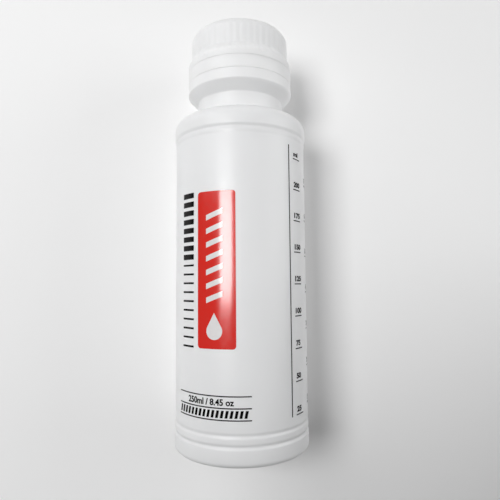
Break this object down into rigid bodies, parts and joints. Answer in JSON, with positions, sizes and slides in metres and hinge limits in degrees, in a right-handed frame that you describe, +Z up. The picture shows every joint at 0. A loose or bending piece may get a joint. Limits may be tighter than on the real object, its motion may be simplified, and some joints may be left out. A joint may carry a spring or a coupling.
{
  "type": "oil mixing bottle",
  "caption": "Tall round translucent mixing bottle with a graduated wall, a hollow neck collar, a tamper ring and a fluted screw cap with a sealing disc.",
  "frame": {"origin": "centre of the foot, on the plane that the bottle stands on", "axes": "+Z up along the bottle's axis, -Y the printed front, +X towards the printed scale"},
  "size_m": [0.054, 0.054, 0.1681],
  "materials": {
    "milky_plastic": "natural milky polyethylene, translucent, satin",
    "cap_plastic": "white polypropylene, slightly translucent, satin",
    "liner_foam": "white expanded polyethylene foam",
    "red_ink": "screen-printed red ink, satin gloss",
    "black_ink": "screen-printed black ink, satin gloss"
  },
  "bodies": {
    "bottle": {"bottle": "milky_plastic", "tamper_ring": "cap_plastic", "red_panel": "red_ink", "lower_rule": "black_ink", "middle_rule": "black_ink", "upper_rule": "black_ink", "scale_line": "black_ink", "grade_1": "black_ink", "grade_2": "black_ink", "grade_3": "black_ink", "grade_4": "black_ink", "grade_5": "black_ink", "grade_6": "black_ink", "grade_7": "black_ink", "grade_8": "black_ink", "grade_9": "black_ink"},
    "liner": {"cap_liner": "liner_foam"},
    "cap": {"screw_cap": "cap_plastic"}
  },
  "joints": [
    {"name": "cap_lift", "type": "slide", "parent": "bottle", "child": "liner", "axis": [0, 0, 1], "range_m": [0, 0.0039]},
    {"name": "cap_turn", "type": "hinge", "parent": "liner", "child": "cap", "pos_m": [0, 0, 0.165], "axis": [0, 0, 1], "range_deg": [0, 350]}
  ],
  "couplings": [
    {"joint": "cap_lift", "follows": "cap_turn", "m_per_rad": 0.00063662}
  ]
}
